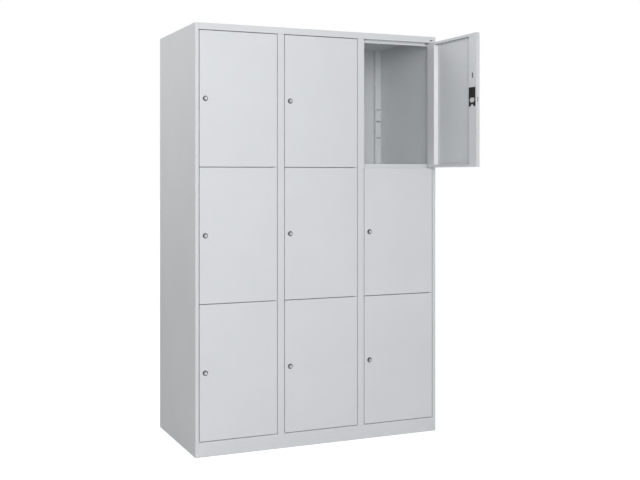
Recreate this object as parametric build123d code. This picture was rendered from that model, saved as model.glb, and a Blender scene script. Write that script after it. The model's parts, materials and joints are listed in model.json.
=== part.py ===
"""Sheet-steel compartment locker: three columns of three flush doors with key locks.

Millimetres, +Z up, front facing -Y. The origin is on the floor, at the middle of the
cabinet's front face. One STEP file per node is written to parts/.
"""

from build123d import *
import os

# Cabinet, outside
WIDTH = 1200.0
DEPTH = 500.0
HEIGHT = 1850.0
COLUMNS = ("left", "middle", "right")
ROWS = ("bottom", "middle", "top")
OPEN_DOORS = {("top", "right"): 90.0}

# Sheet metal
SHEET = 1.0
BEND = 1.0
REAR_FLANGE = 20.0

# Front frame
PLINTH_HEIGHT = 63.5
FASCIA_HEIGHT = 28.5
MULLION_WIDTH = 32.0
DOOR_GAP = 3.0
STOP_CLEARANCE = 4.0
STOP_STRIP = 14.0
RAIL_HEIGHT = 35.0
RAIL_RETURN = 12.0
SHELF_DROP = 15.0

# Relief notches in the top and bottom returns, at the lock and the hinge corners
TOP_LOCK_NOTCH = 17.0
TOP_HINGE_NOTCH = 30.0
BOTTOM_NOTCH = 9.0
NOTCH_HEIGHT = 6.0
LOCK_NOTCH_FRONT = 8.0
HINGE_NOTCH_FRONT = 12.5
FASCIA_SLOT = (16.0, 6.0)
FASCIA_SLOT_INSET = (23.0, 18.0)

# Rear uprights
UPRIGHT_WIDTH = 32.0
UPRIGHT_DEPTH = 18.0
UPRIGHT_SLOT = (27.0, 5.0)
UPRIGHT_SLOT_HEIGHTS = (159.0, 244.0, 305.0)
SHELF_NOTCH_CLEARANCE = 0.5

# Doors
DOOR_DEPTH = 18.0
LIP = 10.0
STIFFENER_FACE = 52.0
STIFFENER_FLANK = 10.0
STIFFENER_FOOT = 8.0
VENT_SLOT = (24.0, 9.0)
VENT_SLOT_INSET = 27.0
VENT_SLOT_RISE = 108.0

# Hinges
PIN_RADIUS = 2.5
PIN_CLEARANCE = 0.05
PIN_REACH = 5.5
PIVOT_INSET = 6.0
PIVOT_DEPTH = 7.0
HINGE_PLATE = (18.0, 13.0, 2.0)

# Lock
LOCK_INSET = 26.0
CASE_EDGE = 6.5
CASE_WIDTH = 44.0
CASE_ABOVE = 56.0
CASE_BELOW = 28.0
CASE_PROUD = 1.4
CASE_CLEARANCE = 0.5
CASE_ROUNDING = 1.0
FISHTAIL = (30.0, 13.0)
ROSE_BASE_RADIUS = 12.0
ROSE_FACE_RADIUS = 8.0
ROSE_PROUD = 6.0
SHANK_RADIUS = 9.0
SHANK_CLEARANCE = 0.2
PLUG_RADIUS = 6.5
PLUG_CLEARANCE = 0.05
PLUG_PROUD = 0.2
TAIL_RADIUS = 4.0
TAIL_CLEARANCE = 0.4
KEY_SLOT = (2.0, 9.0, 5.0)
CAM_SIZE = (30.0, 20.0)
CAM_THICKNESS = 1.5
CAM_GAP = 0.2
CAM_HOLE_RADIUS = 2.5
CAM_HOLE_OFFSET = 4.0
BOLT_HEIGHT = 20.0
BOLT_THICKNESS = 5.0
BOLT_FRONT = 8.5
BOLT_RECESS = 0.5
BOLT_TRAVEL = 12.0
BOLT_WEB = 4.0
BOLT_CLEARANCE = 0.3
STRIKE_CLEARANCE = 1.0

# Small fittings
BUFFER_RADIUS = 4.0
BUFFER_GAP = 0.3
BUFFER_SPREAD = 230.0
SCREW_HEAD_RADIUS = 3.5
SCREW_HEAD_HEIGHT = 1.5
SCREW_RADIUS = 2.0
ROOF_SCREW_INSET = 89.0
ROOF_SCREW_DROP = 7.0
ANCHOR_HOLE_RADIUS = 4.5
ANCHOR_DROP = 60.0

# Worked out from the sizes above
HALF_WIDTH = WIDTH / 2
HALF_MULLION = MULLION_WIDTH / 2
COLUMN_WIDTH = WIDTH / len(COLUMNS)
OPENING_WIDTH = COLUMN_WIDTH - MULLION_WIDTH
DOOR_WIDTH = OPENING_WIDTH - 2 * DOOR_GAP
OPENING_TOP = HEIGHT - FASCIA_HEIGHT
ROW_PITCH = (OPENING_TOP - PLINTH_HEIGHT - DOOR_GAP) / len(ROWS)
DOOR_HEIGHT = ROW_PITCH - DOOR_GAP
FLANGE_BACK = DEPTH - SHEET
INNER_BACK = FLANGE_BACK - SHEET
BEND_CLEAR = INNER_BACK - BEND
STOP_FACE = DOOR_DEPTH + STOP_CLEARANCE
HINGE_WALL = STOP_FACE + 2 * SHEET
FLOOR_TOP = PLINTH_HEIGHT + STOP_STRIP
LOCK_HEIGHT = DOOR_HEIGHT / 2


def block(x, y, z):
    """Box between two limits on each axis."""
    size = (x[1] - x[0], y[1] - y[0], z[1] - z[0])
    centre = ((x[0] + x[1]) / 2, (y[0] + y[1]) / 2, (z[0] + z[1]) / 2)
    return Pos(*centre) * Box(*size)


def rod_y(x, z, radius, y):
    """Cylinder along Y between two depths."""
    return Pos(x, (y[0] + y[1]) / 2, z) * Rot(90, 0, 0) * Cylinder(radius, y[1] - y[0])


def rod_z(x, y, radius, z):
    """Upright cylinder between two heights."""
    return Pos(x, y, (z[0] + z[1]) / 2) * Cylinder(radius, z[1] - z[0])


def slot_y(x, z, size, y, turn=0):
    """Slot with round ends, running along Y between two depths."""
    outline = Plane.XZ.offset(-y[0]) * Pos(x, z) * Rot(0, 0, turn) * SlotOverall(*size)
    return extrude(outline, amount=y[0] - y[1])


def folded(path, plane, length, sharp=()):
    """Folded sheet, extruded along the plane's normal. Its thickness lies to the right of the path.

    The corners numbered in sharp are left without a bend radius.
    """
    points = [Vector(*p) for p in path]
    headings = [(b - a).normalized() for a, b in zip(points, points[1:])]
    inner = [points[0] + Vector(headings[0].Y, -headings[0].X) * SHEET]
    path_radii = [0]
    inner_radii = [0]
    for number, (before, after) in enumerate(zip(headings, headings[1:]), start=1):
        normals = Vector(before.Y, -before.X) + Vector(after.Y, -after.X)
        inner.append(points[number] + normals * (SHEET / (1 + before.dot(after))))
        turns_left = before.cross(after).Z > 0
        bend = 0 if number in sharp else BEND
        outer_bend = bend + SHEET if bend else 0
        path_radii.append(bend if turns_left else outer_bend)
        inner_radii.append(outer_bend if turns_left else bend)
    inner.append(points[-1] + Vector(headings[-1].Y, -headings[-1].X) * SHEET)
    path_radii.append(0)
    inner_radii.append(0)
    outline = FilletPolyline(*points, *reversed(inner), radius=path_radii + inner_radii[::-1], close=True)
    return extrude(plane * make_face(outline), amount=length)


def upright_fold(path, z, sharp=()):
    """Folded sheet with an (x, y) path, standing between two heights."""
    return folded(path, Plane.XY.offset(z[0]), z[1] - z[0], sharp)


def level_fold(path, x, sharp=()):
    """Folded sheet with a (y, z) path, running between two x places."""
    return folded(path, Plane.YZ.offset(x[0]), x[1] - x[0], sharp)


# Places that several sub-parts share

def column_centre(column):
    return (column - (len(COLUMNS) - 1) / 2) * COLUMN_WIDTH


def opening(column):
    """Left and right edge of a column's door opening; the lock side is the left."""
    centre = column_centre(column)
    return centre - OPENING_WIDTH / 2, centre + OPENING_WIDTH / 2


def mullion_centres():
    return [column_centre(column) + COLUMN_WIDTH / 2 for column in range(len(COLUMNS) - 1)]


def cell(column):
    """Inner faces of the walls on both sides of a column."""
    centre = column_centre(column)
    left = -HALF_WIDTH + SHEET if column == 0 else centre - COLUMN_WIDTH / 2 + SHEET / 2
    last = column == len(COLUMNS) - 1
    right = HALF_WIDTH - SHEET if last else centre + COLUMN_WIDTH / 2 - SHEET / 2
    return left, right


def door_bottom(row):
    return PLINTH_HEIGHT + DOOR_GAP + row * ROW_PITCH


def gap_centres():
    """Middle heights of the gaps between doors, where the shelves are."""
    return [door_bottom(row) - DOOR_GAP / 2 for row in range(1, len(ROWS))]


def lock_heights():
    return [door_bottom(row) + LOCK_HEIGHT for row in range(len(ROWS))]


def pivot(column):
    """Hinge axis of a column's doors, in plan."""
    return opening(column)[1] - DOOR_GAP - PIVOT_INSET, PIVOT_DEPTH


def uprights_of(column):
    """X limits of the two rear uprights in a column."""
    left, right = cell(column)
    return (left, left + UPRIGHT_WIDTH), (right - UPRIGHT_WIDTH, right)


# Carcass

def strike_slots(lock_edge):
    """Slots in a rebate wall that take the bolts of one column."""
    slots = []
    reach = BOLT_HEIGHT / 2 + STRIKE_CLEARANCE
    depth = (BOLT_FRONT - STRIKE_CLEARANCE, BOLT_FRONT + BOLT_THICKNESS + STRIKE_CLEARANCE)
    for height in lock_heights():
        wall = (lock_edge - 2 * SHEET, lock_edge + SHEET)
        slots.append(block(wall, depth, (height - reach, height + reach)))
    return slots


def strip_end(edge, z):
    """Cuts off the upright stop strip beside a lock edge between two heights."""
    return block((edge, edge + STOP_STRIP + SHEET), (STOP_FACE - SHEET, HINGE_WALL), z)


def side_wall_left():
    left = -HALF_WIDTH
    edge = opening(0)[0]
    path = [(edge + STOP_STRIP, STOP_FACE), (edge, STOP_FACE), (edge, 0), (left, 0)]
    path += [(left, FLANGE_BACK), (left + REAR_FLANGE, FLANGE_BACK)]
    wall = upright_fold(path, (0, HEIGHT))
    wall -= strip_end(edge, (0, PLINTH_HEIGHT)) + strip_end(edge, (OPENING_TOP - NOTCH_HEIGHT, HEIGHT))
    wall -= roof_seat(-1)
    return [wall - strike_slots(edge) - screw_holes(flange_screw_places())]


def side_wall_right():
    right = HALF_WIDTH
    edge = opening(len(COLUMNS) - 1)[1]
    path = [(right - REAR_FLANGE, FLANGE_BACK), (right, FLANGE_BACK), (right, 0), (edge, 0)]
    path += [(edge, HINGE_WALL), (right - SHEET - BEND, HINGE_WALL)]
    wall = upright_fold(path, (0, HEIGHT))
    wall -= roof_seat(1)
    return [wall - screw_holes(flange_screw_places())]


def roof_seat(side):
    """Clears the sheet thickness that the roof lies in, inside a side wall."""
    reach = max(REAR_FLANGE, HALF_MULLION) + SHEET
    x = sorted((side * (HALF_WIDTH - SHEET), side * (HALF_WIDTH - reach)))
    return block(x, (SHEET, DEPTH), (HEIGHT - SHEET, HEIGHT + SHEET))


def mullion(centre):
    """Front channel between two columns: lock side on its right, hinge side on its left."""
    left = centre - HALF_MULLION
    right = centre + HALF_MULLION
    path = [(right + STOP_STRIP, STOP_FACE), (right, STOP_FACE), (right, 0), (left, 0)]
    path += [(left, HINGE_WALL), (centre - SHEET / 2, HINGE_WALL)]
    channel = upright_fold(path, (PLINTH_HEIGHT, OPENING_TOP))
    channel -= strip_end(right, (OPENING_TOP - NOTCH_HEIGHT, OPENING_TOP + SHEET))
    return channel - strike_slots(right)


def partition(centre):
    """Wall between two columns, welded to the mullion that stands in front of it."""
    wall_x = centre - SHEET / 2
    path = [(wall_x, SHEET), (wall_x, FLANGE_BACK), (wall_x + REAR_FLANGE, FLANGE_BACK)]
    wall = upright_fold(path, (PLINTH_HEIGHT, HEIGHT - SHEET))
    wall -= block((wall_x - SHEET, wall_x + 2 * SHEET), (0, HINGE_WALL), (OPENING_TOP, HEIGHT))
    return [mullion(centre), wall - screw_holes(flange_screw_places())]


def front_strip_cuts(z):
    """Clears a level stop strip wherever an upright strip or mullion stands."""
    cuts = []
    depth = (STOP_FACE - SHEET, HINGE_WALL)
    for column in range(len(COLUMNS)):
        edge = opening(column)[0]
        cuts.append(block((edge - MULLION_WIDTH, edge + STOP_STRIP), depth, z))
    return cuts


def corner_notches(z, lock_width, hinge_width):
    """Relief notches at both corners of every opening, cut in a level return and its strip."""
    cuts = []
    for column in range(len(COLUMNS)):
        left, right = opening(column)
        cuts.append(block((left, left + lock_width), (LOCK_NOTCH_FRONT, HINGE_WALL), z))
        cuts.append(block((right - hinge_width, right), (HINGE_NOTCH_FRONT, HINGE_WALL), z))
    return cuts


def pivot_holes(z, radius):
    return [rod_z(*pivot(column), radius, z) for column in range(len(COLUMNS))]


def roof_panel():
    path = [(STOP_FACE, OPENING_TOP - STOP_STRIP), (STOP_FACE, OPENING_TOP), (0, OPENING_TOP)]
    path += [(0, HEIGHT), (FLANGE_BACK, HEIGHT), (FLANGE_BACK, HEIGHT - REAR_FLANGE)]
    inner = HALF_WIDTH - SHEET
    roof = level_fold(path, (-inner, inner))
    edge = HALF_WIDTH - HALF_MULLION
    front = (-SHEET, HINGE_WALL)
    for stile in ((-HALF_WIDTH, -edge), (edge, HALF_WIDTH)):
        roof -= block(stile, front, (OPENING_TOP - 2 * STOP_STRIP, HEIGHT - SHEET))
        roof -= block(stile, (-SHEET, SHEET), (HEIGHT - 2 * SHEET, HEIGHT + SHEET))
    roof -= front_strip_cuts((OPENING_TOP - 2 * STOP_STRIP, OPENING_TOP))
    roof -= pivot_holes((OPENING_TOP - SHEET, OPENING_TOP + 2 * SHEET), PIN_RADIUS)
    notch_z = (OPENING_TOP - NOTCH_HEIGHT, OPENING_TOP + 2 * SHEET)
    roof -= corner_notches(notch_z, TOP_LOCK_NOTCH, TOP_HINGE_NOTCH)
    inset_x, inset_z = FASCIA_SLOT_INSET
    roof -= slot_y(HALF_WIDTH - inset_x, HEIGHT - inset_z, FASCIA_SLOT, (-SHEET, 2 * SHEET))
    for left in rear_flange_places():
        wall = (left, left + REAR_FLANGE)
        roof -= block(wall, (BEND_CLEAR, DEPTH), (HEIGHT - 2 * REAR_FLANGE, HEIGHT - SHEET))
    return [roof - screw_holes(roof_screw_places())]


def rear_flange_places():
    """Left edge of every rear flange on the side walls and partitions."""
    partitions = [centre - SHEET / 2 for centre in mullion_centres()]
    return [-HALF_WIDTH, HALF_WIDTH - REAR_FLANGE] + partitions


def base_plinth():
    """Front plinth with its top return and stop strip, and three runners round the base."""
    edge = HALF_WIDTH - HALF_MULLION
    path = [(STOP_FACE, 0), (0, 0), (0, PLINTH_HEIGHT), (STOP_FACE, PLINTH_HEIGHT)]
    path += [(STOP_FACE, FLOOR_TOP)]
    front = level_fold(path, (-edge, edge), sharp=(1,))
    front -= front_strip_cuts((PLINTH_HEIGHT, FLOOR_TOP + SHEET))
    return_z = (PLINTH_HEIGHT - 2 * SHEET, PLINTH_HEIGHT + SHEET)
    front -= pivot_holes(return_z, PIN_RADIUS)
    front -= corner_notches(return_z, BOTTOM_NOTCH, BOTTOM_NOTCH)
    return [front] + base_runners()


def base_runners():
    inner = HALF_WIDTH - SHEET
    height = PLINTH_HEIGHT - SHELF_DROP
    depth = (HINGE_WALL, FLANGE_BACK - REAR_FLANGE)
    runners = []
    for side in (-1, 1):
        wall = sorted((side * inner, side * (inner - SHEET)))
        foot = sorted((side * inner, side * (inner - REAR_FLANGE)))
        runners.append(block(wall, depth, (0, height)) + block(foot, depth, (0, SHEET)))
    ends = (-inner + REAR_FLANGE, inner - REAR_FLANGE)
    rear = [(FLANGE_BACK - REAR_FLANGE, 0), (FLANGE_BACK, 0), (FLANGE_BACK, height)]
    rear_fold = Plane.YZ.offset(ends[0]) * make_face(Polyline(*rear_outline(rear), close=True))
    runners.append(extrude(rear_fold, amount=ends[1] - ends[0]))
    return runners


def rear_outline(path):
    """Closed outline of a sharp angle whose thickness is above its foot and before its wall."""
    (foot_y, foot_z), (wall_y, _), (_, top) = path
    outline = [(foot_y, foot_z), (wall_y, foot_z), (wall_y, top), (wall_y - SHEET, top)]
    return outline + [(wall_y - SHEET, foot_z + SHEET), (foot_y, foot_z + SHEET)]


def roof_screw_places():
    """Screws through the roof's rear flange, a fixed distance from each column's sides."""
    height = HEIGHT - ROOF_SCREW_DROP
    offset = COLUMN_WIDTH / 2 - ROOF_SCREW_INSET
    centres = [column_centre(column) for column in range(len(COLUMNS))]
    return [(centre + side * offset, height) for centre in centres for side in (-1, 1)]


def flange_screw_places():
    """Screws through the rear flanges of the side walls and partitions."""
    across = [left + REAR_FLANGE / 2 for left in rear_flange_places()]
    heights = [height + side * ROW_PITCH / 4 for height in lock_heights() for side in (-1, 1)]
    return [(x, z) for x in across for z in heights]


def screw_holes(places):
    return [rod_y(x, z, SCREW_RADIUS, (INNER_BACK - SHEET, DEPTH + SHEET)) for x, z in places]


def back_panel():
    panel = block((-HALF_WIDTH, HALF_WIDTH), (FLANGE_BACK, DEPTH), (0, HEIGHT))
    panel -= screw_holes(roof_screw_places() + flange_screw_places())
    height = HEIGHT - ANCHOR_DROP
    for x in (column_centre(0), column_centre(len(COLUMNS) - 1)):
        panel -= rod_y(x, height, ANCHOR_HOLE_RADIUS, (INNER_BACK, DEPTH + SHEET))
    return [panel]


def back_screws():
    screws = []
    for x, z in roof_screw_places() + flange_screw_places():
        head = rod_y(x, z, SCREW_HEAD_RADIUS, (INNER_BACK - SCREW_HEAD_HEIGHT, INNER_BACK))
        shank = rod_y(x, z, SCREW_RADIUS, (INNER_BACK, DEPTH))
        screws.append(head + shank)
    return screws


def hinge_side_cut(column, z):
    """Clears what stands in front of the walls beyond the hinge edge of an opening."""
    right = opening(column)[1]
    return block((right, right + MULLION_WIDTH), (-SHEET, HINGE_WALL), z)


def upright_cuts(column, z):
    """Notches that let the rear uprights of a column through."""
    cuts = []
    clear = SHELF_NOTCH_CLEARANCE
    for left, right in uprights_of(column):
        depth = (INNER_BACK - UPRIGHT_DEPTH - clear, DEPTH)
        cuts.append(block((left - clear, right + clear), depth, z))
    return cuts


def floor_panels():
    panels = []
    front = STOP_FACE + SHEET
    path = [(front, PLINTH_HEIGHT + SHEET), (front, FLOOR_TOP)]
    path += [(BEND_CLEAR, FLOOR_TOP), (BEND_CLEAR, FLOOR_TOP - SHELF_DROP)]
    span = (0, FLOOR_TOP + SHEET)
    for column in range(len(COLUMNS)):
        panel = level_fold(path, cell(column)) - hinge_side_cut(column, span)
        panels.append(panel)
    return panels


def shelves():
    return [shelf(column, centre) for centre in gap_centres() for column in range(len(COLUMNS))]


def shelf(column, centre):
    """Shelf with the deep front rail that closes the gap between two doors."""
    left, right = opening(column)
    top = centre + RAIL_HEIGHT / 2
    low = centre - RAIL_HEIGHT / 2
    path = [(STOP_FACE + RAIL_RETURN, low), (STOP_FACE, low), (STOP_FACE, top)]
    path += [(INNER_BACK, top), (INNER_BACK, top - SHELF_DROP)]
    span = (low - SHEET, top + SHEET)
    plate = level_fold(path, cell(column))
    plate -= hinge_side_cut(column, span)
    plate -= block((left - MULLION_WIDTH, left + STOP_STRIP), (0, HINGE_WALL), span)
    wide = (left - MULLION_WIDTH, right + MULLION_WIDTH)
    behind = (HINGE_WALL, STOP_FACE + RAIL_RETURN + SHEET)
    ends = block(wide, behind, (low - SHEET, top - SHEET - BEND))
    plate -= ends - block((left + STOP_STRIP, right), behind, span)
    plate -= upright_cuts(column, span)
    return plate


def rear_uprights():
    uprights = []
    front = INNER_BACK - UPRIGHT_DEPTH
    for column in range(len(COLUMNS)):
        for left, right in uprights_of(column):
            path = [(right, BEND_CLEAR), (right, front), (left, front), (left, BEND_CLEAR)]
            post = upright_fold(path, (FLOOR_TOP, HEIGHT - SHEET))
            uprights.append(post - upright_slots((left + right) / 2, front))
    return uprights


def upright_slots(centre, front):
    width, height = UPRIGHT_SLOT
    x = (centre - width / 2, centre + width / 2)
    slots = []
    for row in range(len(ROWS)):
        for rise in UPRIGHT_SLOT_HEIGHTS:
            low = door_bottom(row) - DOOR_GAP / 2 + rise - height / 2
            slots.append(block(x, (front - SHEET, front + 2 * SHEET), (low, low + height)))
    return slots


def hinge_plates():
    """Plates in the gaps between doors, fixed to the hinge side of each opening."""
    reach, depth, thickness = HINGE_PLATE
    plates = []
    for column in range(len(COLUMNS)):
        edge = opening(column)[1]
        x, y = pivot(column)
        for centre in gap_centres():
            z = (centre - thickness / 2, centre + thickness / 2)
            plate = block((edge - reach, edge), (y - depth / 2, y + depth / 2), z)
            corners = plate.edges().filter_by(Axis.Z).group_by(Axis.X)[0]
            plate = fillet(corners, radius=depth / 4)
            plates.append(plate - rod_z(x, y, PIN_RADIUS, z))
    return plates


def hinge_pins():
    """Pins under, between and above the doors of each column."""
    pins = []
    for column in range(len(COLUMNS)):
        x, y = pivot(column)
        low = door_bottom(0)
        pins.append(rod_z(x, y, PIN_RADIUS, (low - 2 * DOOR_GAP, low + PIN_REACH)))
        for centre in gap_centres():
            reach = DOOR_GAP / 2 + PIN_REACH
            pins.append(rod_z(x, y, PIN_RADIUS, (centre - reach, centre + reach)))
        high = OPENING_TOP - DOOR_GAP
        pins.append(rod_z(x, y, PIN_RADIUS, (high - PIN_REACH, high + 2 * DOOR_GAP)))
    return pins


def door_buffers():
    """Rubber buffers on the lock-side strip, just behind each closed door."""
    buffers = []
    for column in range(len(COLUMNS)):
        x = opening(column)[0] + STOP_STRIP / 2
        for height in lock_heights():
            for side in (-1, 1):
                depth = (DOOR_DEPTH + BUFFER_GAP, STOP_FACE)
                buffers.append(rod_y(x, height + side * BUFFER_SPREAD, BUFFER_RADIUS, depth))
    return buffers


# Doors, modelled closed

def door(column, row):
    left = opening(column)[0] + DOOR_GAP
    x = (left, left + DOOR_WIDTH)
    z = (door_bottom(row), door_bottom(row) + DOOR_HEIGHT)
    return [door_pan(column, x, z), lock_stiffener(x, z), hinge_stiffener(x, z)]


def door_pan(column, x, z):
    """Tray with four flanges, and return lips along its top and bottom."""
    outer = block(x, (0, DOOR_DEPTH), z)
    outer = fillet(outer.edges().group_by(Axis.Y)[0], radius=BEND + SHEET)
    inner_x = (x[0] + SHEET, x[1] - SHEET)
    inner_z = (z[0] + SHEET, z[1] - SHEET)
    inner = block(inner_x, (SHEET, DOOR_DEPTH + SHEET), inner_z)
    inner = fillet(inner.edges().group_by(Axis.Y)[0], radius=BEND)
    pan = outer - inner
    lip_depth = (DOOR_DEPTH - SHEET, DOOR_DEPTH)
    pan += block(inner_x, lip_depth, (inner_z[0], inner_z[0] + LIP))
    pan += block(inner_x, lip_depth, (inner_z[1] - LIP, inner_z[1]))
    hole = PIN_RADIUS + PIN_CLEARANCE
    for flange in ((z[0] - SHEET, z[0] + 2 * SHEET), (z[1] - 2 * SHEET, z[1] + SHEET)):
        pan -= rod_z(*pivot(column), hole, flange)
    lock_x = x[0] + LOCK_INSET
    lock_z = z[0] + LOCK_HEIGHT
    pan -= rod_y(lock_x, lock_z, SHANK_RADIUS + SHANK_CLEARANCE, (-SHEET, 2 * SHEET))
    return pan - bolt_passage((x[0] - SHEET, x[0] + 2 * SHEET), lock_z)


def bolt_passage(x, lock_z):
    """Space that the bolt slides in, with its clearance."""
    depth = (BOLT_FRONT - BOLT_CLEARANCE, BOLT_FRONT + BOLT_THICKNESS + BOLT_CLEARANCE)
    reach = BOLT_HEIGHT / 2 + BOLT_CLEARANCE
    return block(x, depth, (lock_z - reach, lock_z + reach))


def stiffener_height(z):
    """The stiffeners stand between the door's lips."""
    return z[0] + SHEET + LIP, z[1] - SHEET - LIP


def hinge_stiffener(x, z):
    edge = x[1] - SHEET
    face = edge + SHEET - STIFFENER_FACE
    path = [(face - STIFFENER_FLANK - STIFFENER_FOOT, 2 * SHEET)]
    path += [(face - STIFFENER_FLANK, 2 * SHEET), (face, DOOR_DEPTH), (edge, DOOR_DEPTH)]
    return upright_fold(path, stiffener_height(z))


def lock_stiffener(x, z):
    edge = x[0] + SHEET
    face = x[0] + STIFFENER_FACE
    path = [(edge, DOOR_DEPTH), (face, DOOR_DEPTH), (face + STIFFENER_FLANK, 2 * SHEET)]
    path += [(face + STIFFENER_FLANK + STIFFENER_FOOT, 2 * SHEET)]
    channel = upright_fold(path, stiffener_height(z))
    lock_z = z[0] + LOCK_HEIGHT
    cut_x = (x[0] + CASE_EDGE - CASE_CLEARANCE, x[0] + CASE_EDGE + CASE_WIDTH + CASE_CLEARANCE)
    cut_z = (lock_z - CASE_BELOW - CASE_CLEARANCE, lock_z + CASE_ABOVE + CASE_CLEARANCE)
    face_depth = (DOOR_DEPTH - 2 * SHEET, DOOR_DEPTH + SHEET)
    tongue = fishtail(sum(cut_x) / 2, lock_z - CASE_BELOW, face_depth, CASE_CLEARANCE)
    channel -= block(cut_x, face_depth, cut_z) - tongue
    slot_z = lock_z + VENT_SLOT_RISE
    return channel - slot_y(x[0] + VENT_SLOT_INSET, slot_z, VENT_SLOT, face_depth, turn=90)


def fishtail(middle, low, y, clearance=0.0):
    """Pointed notch in the case's lower edge; with a clearance, the tongue that fills it."""
    width, height = FISHTAIL
    half = width / 2 - clearance
    foot = low - clearance
    outline = Polyline((middle - half, foot), (middle, foot + height), (middle + half, foot), close=True)
    return extrude(Plane.XZ.offset(-y[0]) * make_face(outline), amount=y[0] - y[1])


def lock_case(x, z):
    """Moulded case behind the lock, with a fishtail cut in its lower edge."""
    left = x - LOCK_INSET + CASE_EDGE
    right = left + CASE_WIDTH
    back = DOOR_DEPTH + CASE_PROUD
    case = block((left, right), (SHEET, back), (z - CASE_BELOW, z + CASE_ABOVE))
    case = fillet(case.edges().group_by(Axis.Y)[-1], radius=CASE_ROUNDING)
    case -= rod_y(x, z, SHANK_RADIUS + SHANK_CLEARANCE, (0, BOLT_FRONT))
    case -= rod_y(x, z, TAIL_RADIUS + TAIL_CLEARANCE, (0, back + SHEET))
    case -= bolt_passage((left - SHEET, right - 2 * SHEET), z)
    return [case - fishtail((left + right) / 2, z - CASE_BELOW, (0, back + SHEET))]


def lock_barrel(x, z):
    """Conical rose on the door's face, and the shank that passes through the skin."""
    rose = Pos(x, -ROSE_PROUD / 2, z) * Rot(90, 0, 0) * Cone(ROSE_BASE_RADIUS, ROSE_FACE_RADIUS, ROSE_PROUD)
    barrel = rose + rod_y(x, z, SHANK_RADIUS, (0, BOLT_FRONT - SHEET))
    return [barrel - rod_y(x, z, PLUG_RADIUS + PLUG_CLEARANCE, (-DOOR_DEPTH, DOOR_DEPTH))]


def lock_plug(x, z):
    """Turning plug with its key slot, and the drilled cam plate on its tail."""
    face = -ROSE_PROUD - PLUG_PROUD
    cam = DOOR_DEPTH + CASE_PROUD + CAM_GAP
    plug = rod_y(x, z, PLUG_RADIUS, (face, BOLT_FRONT - SHEET))
    plug += rod_y(x, z, TAIL_RADIUS, (0, cam))
    plug += slot_y(x, z, CAM_SIZE, (cam, cam + CAM_THICKNESS))
    plug -= rod_y(x - CAM_HOLE_OFFSET, z, CAM_HOLE_RADIUS, (cam, cam + DOOR_DEPTH))
    width, height, depth = KEY_SLOT
    slot_x = (x - width / 2, x + width / 2)
    plug -= block(slot_x, (face - SHEET, face + depth), (z - height / 2, z + height / 2))
    return [plug]


def lock_bolt(x, z):
    """Flat bolt, drawn back, with a window that the plug's tail passes through."""
    front = x - LOCK_INSET + BOLT_RECESS
    rear_clear = x + TAIL_RADIUS + TAIL_CLEARANCE + BOLT_TRAVEL
    half = BOLT_HEIGHT / 2
    depth = (BOLT_FRONT, BOLT_FRONT + BOLT_THICKNESS)
    bolt = block((front, rear_clear + BOLT_WEB), depth, (z - half, z + half))
    window = TAIL_RADIUS + TAIL_CLEARANCE
    return [bolt - block((x - window, rear_clear), (0, DEPTH), (z - window, z + window))]


# Everything in its place

def swung(solids, column, row):
    """Turns a door's pieces to the angle that the door stands at."""
    angle = OPEN_DOORS.get((ROWS[row], COLUMNS[column]), 0)
    axis = Axis((*pivot(column), 0), (0, 0, 1))
    return [solid.rotate(axis, angle) for solid in solids]


def door_set(column, row):
    """The five nodes that travel with one door."""
    name = f"{ROWS[row]}_{COLUMNS[column]}"
    x = opening(column)[0] + DOOR_GAP + LOCK_INSET
    z = door_bottom(row) + LOCK_HEIGHT
    pieces = {"door": door(column, row), "lock_case": lock_case(x, z), "lock_barrel": lock_barrel(x, z)}
    pieces |= {"lock_plug": lock_plug(x, z), "lock_bolt": lock_bolt(x, z)}
    return {f"{kind}_{name}": swung(solids, column, row) for kind, solids in pieces.items()}


def carcass():
    nodes = {"side_wall_left": side_wall_left(), "side_wall_right": side_wall_right()}
    for name, centre in zip(("left", "right"), mullion_centres()):
        nodes[f"partition_{name}"] = partition(centre)
    for make in (roof_panel, base_plinth, back_panel, back_screws, floor_panels, shelves):
        nodes[make.__name__] = make()
    for make in (rear_uprights, hinge_plates, hinge_pins, door_buffers):
        nodes[make.__name__] = make()
    return nodes


def main():
    os.makedirs("parts", exist_ok=True)
    nodes = carcass()
    for column in range(len(COLUMNS)):
        for row in range(len(ROWS)):
            nodes |= door_set(column, row)
    for name, solids in nodes.items():
        shape = solids[0] if len(solids) == 1 else Compound(children=solids)
        export_step(shape, f"parts/{name}.step")


main()
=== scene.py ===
import json
import math

import bpy
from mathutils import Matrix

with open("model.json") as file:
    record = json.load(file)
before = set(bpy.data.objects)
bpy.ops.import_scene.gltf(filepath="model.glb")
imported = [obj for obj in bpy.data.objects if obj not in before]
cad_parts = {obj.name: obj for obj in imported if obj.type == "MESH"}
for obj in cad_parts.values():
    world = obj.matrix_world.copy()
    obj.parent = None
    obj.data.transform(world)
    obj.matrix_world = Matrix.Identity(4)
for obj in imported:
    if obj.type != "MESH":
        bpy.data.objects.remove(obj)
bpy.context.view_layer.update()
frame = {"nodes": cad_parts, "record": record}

# Camera: two-point perspective, level, from the left of the cabinet
CAMERA_PLACE = (-1.868, -3.537, 1.200)
CAMERA_YAW = math.radians(-20.09)
CAMERA_LENS = 49.86
CAMERA_SENSOR = 36.0
CAMERA_SHIFT = (0.1858, -0.1011)

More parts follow.
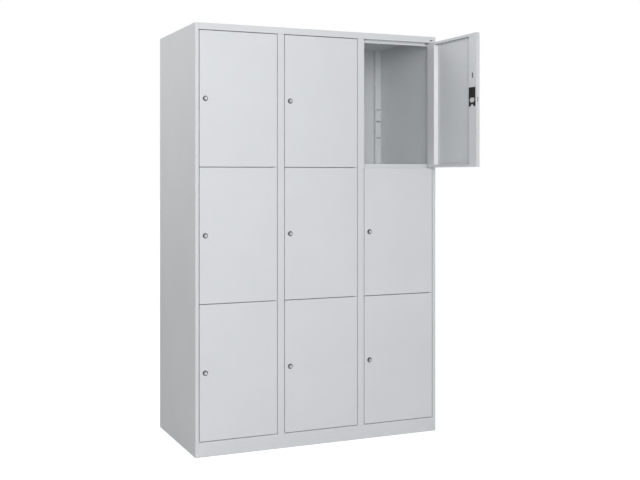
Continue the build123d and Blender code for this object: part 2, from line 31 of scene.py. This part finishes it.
# Studio: each glow is a direction, a sharpness and a level, and a negative level takes light away;
# each lamp is a place, an aim, a size and watts
FLOOR_SIZE = 80.0
FLOOR_COLOUR = (0.50, 0.50, 0.50)
FLOOR_LIFT = 0.80
SKY_SHOWN = 1.0
AMBIENT = 0.41
GLOWS = (
    ((-1.0, 0.0, 0.0), 4.0, -0.22),
    ((-0.19, -0.95, 0.24), 16.0, 1.85),
    ((0.98, -0.15, 0.10), 8.0, 0.8),
)
LAMPS = {
    "left_fill": ((-1.9, -4.2, 1.7), (0.2, 0.0, 1.3), (1.6, 1.6), 68.0),
    "high_key": ((-0.9, -2.0, 2.2), (-0.3, 0.0, 1.4), (1.2, 1.0), 7.0),
    "side_light": ((-2.5, 1.0, 2.6), (-0.6, 0.25, 1.2), (1.2, 1.2), 23.0),
}

MILLIMETRE = 0.001

# Noise: the middle range of its values, and cells per metre of each fineness
NOISE_RANGE = (0.3, 0.7)
COAT_CLOUDS, COAT_GLOSS, COAT_PEEL, COAT_SPECKS, COAT_GRAIN = 4.0, 26.0, 420.0, 1400.0, 2600.0
METAL_SMUDGES, METAL_LINES = 160.0, 700.0
PLASTIC_TONE, PLASTIC_GLOSS, PLASTIC_GRAIN = 60.0, 220.0, 1800.0
FLOOR_CLOUDS = 2.0

# Unevenness: darkest and lightest share of a colour, and what is added to a roughness
COAT_SHADES, COAT_UNEVENNESS = (0.985, 1.015), (-0.03, 0.04)
METAL_SHADES, METAL_UNEVENNESS = (0.86, 1.08), (-0.06, 0.08)
PLASTIC_SHADES, PLASTIC_UNEVENNESS = (0.85, 1.2), (-0.05, 0.08)
FLOOR_SHADES = (0.99, 1.01)

# Depths of relief in metres, and how strongly each is felt
PEEL_DEPTH = 0.06 * MILLIMETRE
GRAIN_DEPTH = 0.01 * MILLIMETRE
LINE_DEPTH = 0.02 * MILLIMETRE
PLASTIC_DEPTH = 0.02 * MILLIMETRE
RUBBER_DEPTH = 0.04 * MILLIMETRE
PEEL_STRENGTH, GRAIN_STRENGTH, LINE_STRENGTH, MOULDED_STRENGTH = 0.5, 0.4, 0.5, 0.6

SPECK_AMOUNT = 0.03
FLOOR_ROUGHNESS = 0.8
WHITE = (1.0, 1.0, 1.0, 1.0)


def new_material(name):
    """New node material, its node tree and its shader."""
    material = bpy.data.materials.new(name)
    material.use_nodes = True
    return material, material.node_tree, material.node_tree.nodes["Principled BSDF"]


def object_noise(tree, scale, detail=2.0, stretch=(1.0, 1.0, 1.0)):
    """Noise in the object's own metres; scale is in cells per metre."""
    place = tree.nodes.new("ShaderNodeTexCoord")
    mapping = tree.nodes.new("ShaderNodeMapping")
    noise = tree.nodes.new("ShaderNodeTexNoise")
    mapping.inputs["Scale"].default_value = stretch
    noise.inputs["Scale"].default_value = scale
    noise.inputs["Detail"].default_value = detail
    tree.links.new(place.outputs["Object"], mapping.inputs["Vector"])
    tree.links.new(mapping.outputs["Vector"], noise.inputs["Vector"])
    return noise.outputs["Fac"]


def spread(tree, value, low, high):
    """Maps a noise value from its usual middle range to low..high."""
    ramp = tree.nodes.new("ShaderNodeMapRange")
    ramp.inputs["From Min"].default_value = NOISE_RANGE[0]
    ramp.inputs["From Max"].default_value = NOISE_RANGE[1]
    ramp.inputs["To Min"].default_value = low
    ramp.inputs["To Max"].default_value = high
    tree.links.new(value, ramp.inputs["Value"])
    return ramp.outputs["Result"]


def mix_colours(tree, factor, first, second, blend="MIX"):
    """Blend of two colours, each a tuple or a socket; factor is a number or a socket."""
    mix = tree.nodes.new("ShaderNodeMix")
    mix.data_type = "RGBA"
    mix.blend_type = blend
    if isinstance(factor, float):
        mix.inputs["Factor"].default_value = factor
    else:
        tree.links.new(factor, mix.inputs["Factor"])
    for name, colour in (("A", first), ("B", second)):
        socket = [s for s in mix.inputs if s.name == name and s.type == "RGBA"][0]
        if isinstance(colour, tuple):
            socket.default_value = (*colour, 1.0)
        else:
            tree.links.new(colour, socket)
    return [s for s in mix.outputs if s.type == "RGBA"][0]


def scaled(colour, factor):
    """The colour, lighter or darker by a factor."""
    return tuple(channel * factor for channel in colour)


def tint(tree, shader, noise, colour, shades):
    """Colours the shader unevenly, between two shades of one colour."""
    tone = spread(tree, noise, 0.0, 1.0)
    darkest, lightest = (scaled(colour, shade) for shade in shades)
    shade = mix_colours(tree, tone, darkest, lightest)
    tree.links.new(shade, shader.inputs["Base Color"])
    return shade


def roughen(tree, shader, noise, roughness, unevenness):
    """Sets an uneven roughness about a middle value."""
    low, high = (roughness + change for change in unevenness)
    tree.links.new(spread(tree, noise, low, high), shader.inputs["Roughness"])


def bump(tree, shader, height, depth, strength, below=None):
    """Relief of the given depth in metres, laid over another relief where one is given."""
    node = tree.nodes.new("ShaderNodeBump")
    node.inputs["Distance"].default_value = depth
    node.inputs["Strength"].default_value = strength
    tree.links.new(height, node.inputs["Height"])
    if below:
        tree.links.new(below.outputs["Normal"], node.inputs["Normal"])
    tree.links.new(node.outputs["Normal"], shader.inputs["Normal"])
    return node


def powder_coat(name, colour, roughness):
    """Baked powder coat: orange peel, a fine grain, and faint cloudiness in colour and gloss."""
    material, tree, shader = new_material(name)
    specks = spread(tree, object_noise(tree, COAT_SPECKS, detail=1.0), 0.0, 1.0)
    cloudy = tint(tree, shader, object_noise(tree, COAT_CLOUDS), colour, COAT_SHADES)
    speckled = mix_colours(tree, SPECK_AMOUNT, cloudy, specks, blend="MULTIPLY")
    tree.links.new(speckled, shader.inputs["Base Color"])
    roughen(tree, shader, object_noise(tree, COAT_GLOSS), roughness, COAT_UNEVENNESS)
    peel = object_noise(tree, COAT_PEEL, detail=1.0)
    grain = object_noise(tree, COAT_GRAIN, detail=1.0)
    under = bump(tree, shader, peel, PEEL_DEPTH, PEEL_STRENGTH)
    bump(tree, shader, grain, GRAIN_DEPTH, GRAIN_STRENGTH, below=under)
    return material


def metal(name, colour, roughness, stretch, metallic=1.0):
    """Bare or plated metal with fine drawn lines and smudged gloss."""
    material, tree, shader = new_material(name)
    shader.inputs["Metallic"].default_value = metallic
    lines = object_noise(tree, METAL_LINES, detail=3.0, stretch=stretch)
    tint(tree, shader, lines, colour, METAL_SHADES)
    roughen(tree, shader, object_noise(tree, METAL_SMUDGES), roughness, METAL_UNEVENNESS)
    bump(tree, shader, lines, LINE_DEPTH, LINE_STRENGTH)
    return material


def moulded_plastic(name, colour, roughness, grain_depth):
    """Moulded plastic or rubber with a fine grain and slightly uneven gloss."""
    material, tree, shader = new_material(name)
    tint(tree, shader, object_noise(tree, PLASTIC_TONE), colour, PLASTIC_SHADES)
    roughen(tree, shader, object_noise(tree, PLASTIC_GLOSS), roughness, PLASTIC_UNEVENNESS)
    bump(tree, shader, object_noise(tree, PLASTIC_GRAIN), grain_depth, MOULDED_STRENGTH)
    return material


def make_materials():
    """The material of each slot that the record names."""
    carcass, door = (0.700, 0.720, 0.735), (0.710, 0.730, 0.745)
    zinc, plug, chrome = (0.62, 0.62, 0.63), (0.80, 0.80, 0.80), (0.28, 0.29, 0.31)
    black, grey = (0.008, 0.008, 0.009), (0.30, 0.31, 0.32)
    return {
        "carcass_paint": powder_coat("carcass_paint", carcass, 0.40),
        "door_paint": powder_coat("door_paint", door, 0.38),
        "zinc_steel": metal("zinc_steel", zinc, 0.34, (1.0, 1.0, 0.1)),
        "plug_steel": metal("plug_steel", plug, 0.38, (1.0, 1.0, 0.3), metallic=0.4),
        "barrel_chrome": metal("barrel_chrome", chrome, 0.14, (1.0, 1.0, 1.0)),
        "lock_plastic": moulded_plastic("lock_plastic", black, 0.42, PLASTIC_DEPTH),
        "buffer_rubber": moulded_plastic("buffer_rubber", grey, 0.70, RUBBER_DEPTH),
    }


def paint_nodes(materials):
    """Gives each node the material of its slot."""
    for subpart in frame["record"]["subparts"]:
        mesh = frame["nodes"][subpart["node"]].data
        mesh.materials.clear()
        mesh.materials.append(materials[subpart["material_slot"]])


def arithmetic(tree, operation, first, second):
    """Math node on two inputs, each a number or a socket."""
    node = tree.nodes.new("ShaderNodeMath")
    node.operation = operation
    for socket, value in zip(node.inputs, (first, second)):
        if isinstance(value, float):
            socket.default_value = value
        else:
            tree.links.new(value, socket)
    return node.outputs["Value"]


def make_floor():
    """Plain pale studio floor, lifted to the surround's white where it is seen directly."""
    half = FLOOR_SIZE / 2
    mesh = bpy.data.meshes.new("studio_floor")
    corners = [(-half, -half, 0), (half, -half, 0), (half, half, 0), (-half, half, 0)]
    mesh.from_pydata(corners, [], [(0, 1, 2, 3)])
    floor = bpy.data.objects.new("studio_floor", mesh)
    bpy.context.scene.collection.objects.link(floor)
    material, tree, shader = new_material("studio_floor")
    tint(tree, shader, object_noise(tree, FLOOR_CLOUDS), FLOOR_COLOUR, FLOOR_SHADES)
    shader.inputs["Roughness"].default_value = FLOOR_ROUGHNESS
    shader.inputs["Emission Color"].default_value = WHITE
    seen = tree.nodes.new("ShaderNodeLightPath").outputs["Is Camera Ray"]
    lift = arithmetic(tree, "MULTIPLY", seen, FLOOR_LIFT)
    tree.links.new(lift, shader.inputs["Emission Strength"])
    mesh.materials.append(material)


def make_sky():
    """Plain white surround that lights the cabinet with a low ambient and soft glows."""
    world = bpy.data.worlds.new("studio")
    bpy.context.scene.world = world
    world.use_nodes = True
    tree = world.node_tree
    place = tree.nodes.new("ShaderNodeTexCoord")
    level = AMBIENT
    for direction, sharpness, strength in GLOWS:
        facing = tree.nodes.new("ShaderNodeVectorMath")
        facing.operation = "DOT_PRODUCT"
        facing.inputs[1].default_value = direction
        tree.links.new(place.outputs["Generated"], facing.inputs[0])
        towards = arithmetic(tree, "MAXIMUM", facing.outputs["Value"], 0.0)
        glow = arithmetic(tree, "POWER", towards, sharpness)
        level = arithmetic(tree, "ADD", arithmetic(tree, "MULTIPLY", glow, strength), level)
    seen = tree.nodes.new("ShaderNodeLightPath").outputs["Is Camera Ray"]
    unseen = arithmetic(tree, "SUBTRACT", 1.0, seen)
    lighting = arithmetic(tree, "MULTIPLY", level, unseen)
    shown = arithmetic(tree, "MULTIPLY", seen, SKY_SHOWN)
    surround = tree.nodes["Background"]
    surround.inputs["Color"].default_value = WHITE
    tree.links.new(arithmetic(tree, "ADD", lighting, shown), surround.inputs["Strength"])


def area_light(name, place, target, size, power):
    """Rectangular lamp that faces its target."""
    light = bpy.data.lights.new(name, "AREA")
    light.shape = "RECTANGLE"
    light.size, light.size_y = size
    light.energy = power
    lamp = bpy.data.objects.new(name, light)
    lamp.location = place
    aim = bpy.data.objects.new(f"{name}_aim", None)
    aim.location = target
    track = lamp.constraints.new("TRACK_TO")
    track.target = aim
    for item in (lamp, aim):
        bpy.context.scene.collection.objects.link(item)


def make_camera():
    """Level camera, shifted so that uprights stay parallel."""
    data = bpy.data.cameras.new("camera")
    data.lens = CAMERA_LENS
    data.sensor_width = CAMERA_SENSOR
    data.shift_x, data.shift_y = CAMERA_SHIFT
    camera = bpy.data.objects.new("camera", data)
    camera.location = CAMERA_PLACE
    camera.rotation_euler = (math.pi / 2, 0.0, CAMERA_YAW)
    bpy.context.scene.collection.objects.link(camera)
    bpy.context.scene.camera = camera


make_camera()
paint_nodes(make_materials())
make_floor()
make_sky()
for name, (place, target, size, power) in LAMPS.items():
    area_light(name, place, target, size, power)
bpy.context.scene.view_settings.view_transform = "Standard"
